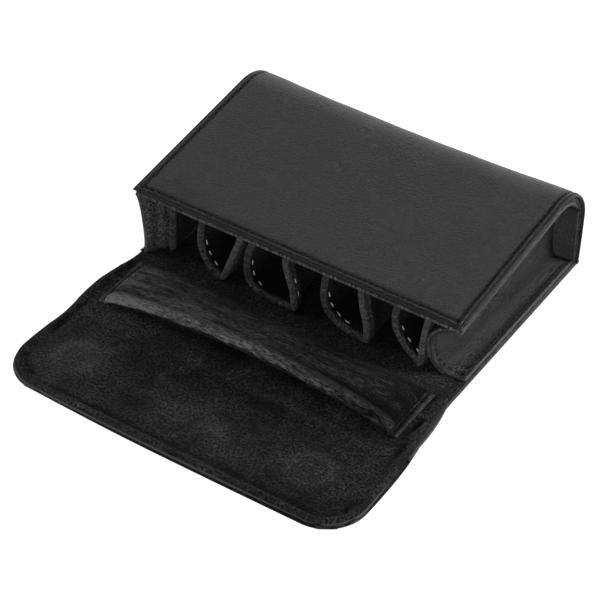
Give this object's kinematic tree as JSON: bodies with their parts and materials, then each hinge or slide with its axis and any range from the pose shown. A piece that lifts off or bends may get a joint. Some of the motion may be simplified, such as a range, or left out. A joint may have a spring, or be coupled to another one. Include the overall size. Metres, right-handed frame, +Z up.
{
  "type": "mouthpiece pouch",
  "caption": "Leather pouch with a plush zigzag divider for brass mouthpieces and a two-fold magnetic flap with an arched cushion",
  "frame": {"origin": "on the surface that the open pouch lies on, at the middle of its outline", "axes": "+Z up, +Y from the open flap towards the case's rear fold, +X to the right as seen from the flap"},
  "size_m": [0.1646, 0.1894, 0.046],
  "materials": {
    "leather": "fine grained black leather, soft sheen",
    "plush": "short black plush, brushed",
    "divider_plush": "short black plush with a folded hem",
    "cushion_plush": "black plush over foam, pile brushed along its length",
    "foam": "thin black foam interlining",
    "board": "flexible black stiffener sheet",
    "steel": "plain steel disc",
    "magnet": "bright plated disc magnet"
  },
  "bodies": {
    "case": {"wrap_leather": "leather", "wrap_foam": "foam", "wrap_lining": "plush", "back_leather": "leather", "back_board": "board", "back_lining": "plush", "divider": "divider_plush", "left_catch_disc": "steel", "right_catch_disc": "steel", "left_gusset_leather": "leather", "left_gusset_lining": "plush", "right_gusset_leather": "leather", "right_gusset_lining": "plush"},
    "flap_cover": {"cover_leather": "leather", "cover_board": "board", "cover_lining": "plush", "cushion_pad": "cushion_plush", "left_cushion_tab": "cushion_plush", "right_cushion_tab": "cushion_plush"},
    "flap_front": {"front_leather": "leather", "front_board": "board", "front_lining": "plush", "left_magnet": "magnet", "right_magnet": "magnet"}
  },
  "joints": [
    {"name": "flap_base_fold", "type": "hinge", "parent": "case", "child": "flap_cover", "pos_m": [0, -0.00785, 0.0012], "axis": [-1, 0, 0], "range_deg": [-30, 90], "deforming": ["cushion_pad"]},
    {"name": "flap_front_fold", "type": "hinge", "parent": "flap_cover", "child": "flap_front", "pos_m": [0, -0.04745, 0.0012], "axis": [-1, 0, 0], "range_deg": [-30, 83.5]}
  ]
}
